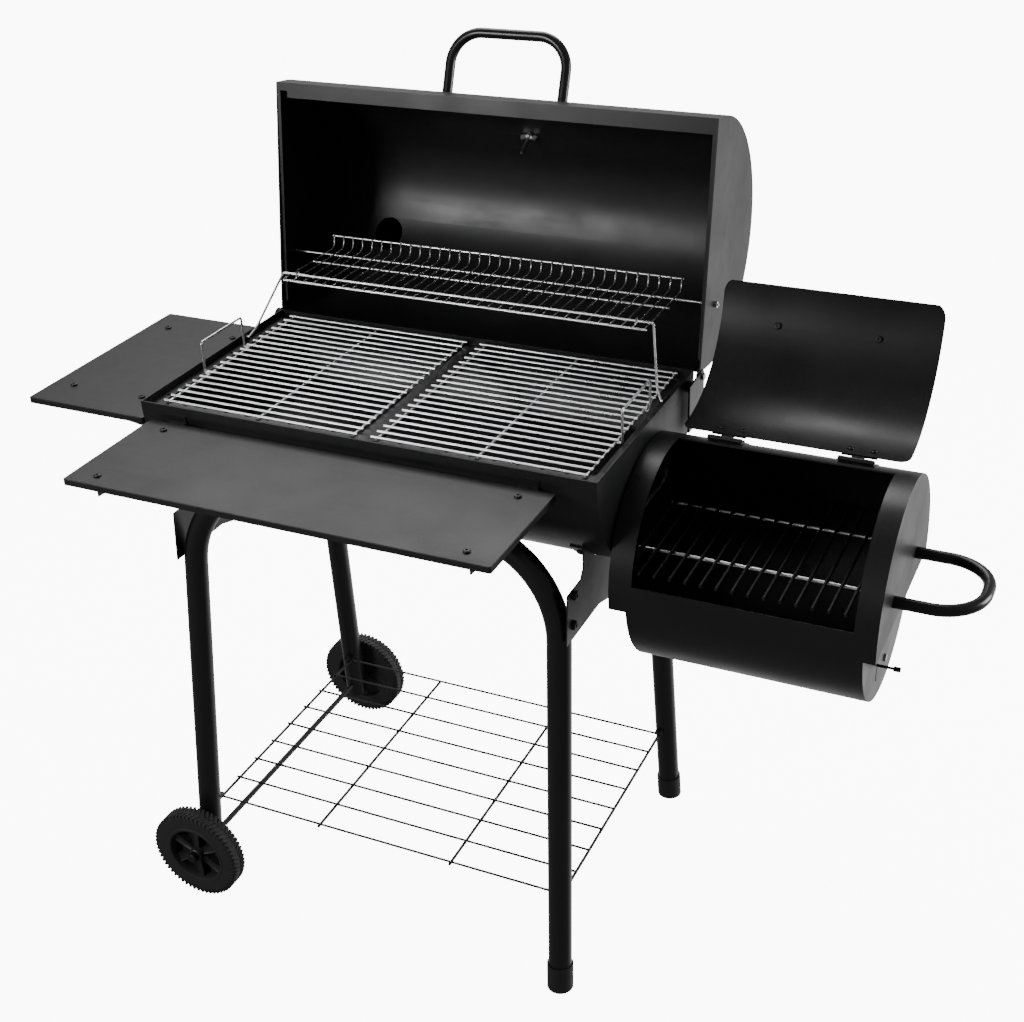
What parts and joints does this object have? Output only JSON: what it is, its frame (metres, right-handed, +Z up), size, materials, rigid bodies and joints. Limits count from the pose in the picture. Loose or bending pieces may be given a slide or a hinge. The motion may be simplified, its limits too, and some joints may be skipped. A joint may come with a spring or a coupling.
{
  "type": "offset smoker",
  "caption": "Barrel barbecue smoker with a side firebox, hinged lid and firebox door, swing-up warming rack, wire grates, side and front shelves, and two wheels.",
  "frame": {"origin": "centre of the bounding box's footprint, on the ground", "axes": "+X along the barrel towards the firebox, -Y towards the user, +Z up"},
  "size_m": [1.514, 1.0454, 1.3679],
  "materials": {
    "black_coat": "semi-gloss black powder coat",
    "black_end": "satin black powder coat on flat end plates",
    "bright_wire": "bright plated wire",
    "zinc": "dull bright fasteners",
    "black_plastic": "matt black moulded plastic",
    "tread": "matt black moulded tyre",
    "lens": "clear gauge window",
    "gauge": "bright gauge case",
    "dark_wire": "black coated wire",
    "black_bolt": "black oxide fasteners"
  },
  "bodies": {
    "cooker": {"bowl_shell": "black_coat", "bowl_end_left": "black_end", "bowl_end_right": "black_end", "grate_supports": "black_coat", "rack_lugs": "black_coat", "cooking_grate_left": "bright_wire", "cooking_grate_right": "bright_wire", "charcoal_pan": "black_coat", "lid_brackets": "black_coat", "lid_pivots": "zinc", "leg_frame_front": "black_coat", "leg_frame_rear": "black_coat", "foot_caps": "black_plastic", "leg_brace_left": "black_coat", "leg_brace_right": "black_coat", "frame_bolts": "black_bolt", "axle": "black_bolt", "lower_wire_rack": "dark_wire", "rack_tabs": "black_coat", "front_shelf": "black_coat", "front_shelf_arms": "black_coat", "left_shelf": "black_coat", "left_shelf_arms": "black_coat", "shelf_screws": "black_bolt", "firebox_upper": "black_coat", "firebox_lower": "black_coat", "firebox_end_left": "black_end", "firebox_end_right": "black_end", "firebox_low_ends": "black_coat", "damper_pivot": "zinc", "end_handle": "black_end", "fire_grate_wires": "dark_wire", "fire_grate_rods": "bright_wire", "fire_grate_rests": "black_coat", "door_hinge_fixed": "black_bolt"},
    "lid": {"lid_shell": "black_coat", "lid_end_left": "black_end", "lid_end_right": "black_end", "lid_lip": "black_coat", "lid_handle": "black_end", "lid_handle_screws": "black_bolt", "chimney": "black_coat", "chimney_pin": "zinc", "thermometer_case": "gauge", "thermometer_lens": "lens", "thermometer_stem": "zinc"},
    "chimney_cap": {"chimney_cap": "black_coat"},
    "needle": {"thermometer_needle": "zinc"},
    "rack": {"warming_rack": "bright_wire"},
    "bail": {"rack_bail": "bright_wire"},
    "door": {"door_plate": "black_coat", "door_handle": "black_end", "door_screws": "black_bolt", "door_hinge_leaves": "black_coat"},
    "damper": {"damper_plate": "black_coat"},
    "wheel_front": {"tyre_front": "tread", "hub_front": "black_plastic"},
    "wheel_rear": {"tyre_rear": "tread", "hub_rear": "black_plastic"}
  },
  "joints": [
    {"name": "lid_hinge", "type": "hinge", "parent": "cooker", "child": "lid", "pos_m": [-0.141, 0.11933, 0.888], "axis": [1, 0, 0], "range_deg": [0, 96.9]},
    {"name": "rack_pivot", "type": "hinge", "parent": "lid", "child": "rack", "pos_m": [-0.141, 0.18633, 0.984], "axis": [1, 0, 0], "range_deg": [-97, 0]},
    {"name": "bail_pivot", "type": "hinge", "parent": "cooker", "child": "bail", "pos_m": [-0.141, -0.00867, 0.8965], "axis": [1, 0, 0], "range_deg": [0, 97]},
    {"name": "door_hinge", "type": "hinge", "parent": "cooker", "child": "door", "pos_m": [0.44, -0.04417, 0.8682], "axis": [1, 0, 0], "range_deg": [0, 179]},
    {"name": "damper_turn", "type": "hinge", "parent": "cooker", "child": "damper", "pos_m": [0.611, -0.09267, 0.578], "axis": [1, 0, 0], "range_deg": [0, 24]},
    {"name": "chimney_cap_swing", "type": "hinge", "parent": "lid", "child": "chimney_cap", "pos_m": [-0.4, 0.51425, 0.95504], "axis": [0, 0.9928, -0.1201], "range_deg": [0, 120]},
    {"name": "needle_turn", "type": "hinge", "parent": "lid", "child": "needle", "pos_m": [-0.141, 0.36113, 1.18534], "axis": [0, 0.8678, 0.497], "range_deg": [-135, 135]},
    {"name": "wheel_front_spin", "type": "hinge", "parent": "cooker", "child": "wheel_front", "pos_m": [-0.47462, -0.38767, 0.084], "axis": [0, 1, 0], "continuous": true},
    {"name": "wheel_rear_spin", "type": "hinge", "parent": "cooker", "child": "wheel_rear", "pos_m": [-0.47462, 0.20233, 0.084], "axis": [0, 1, 0], "continuous": true}
  ],
  "couplings": [
    {"joint": "rack_pivot", "follows": "lid_hinge", "ratio": -1},
    {"joint": "bail_pivot", "follows": "lid_hinge", "ratio": 1}
  ]
}
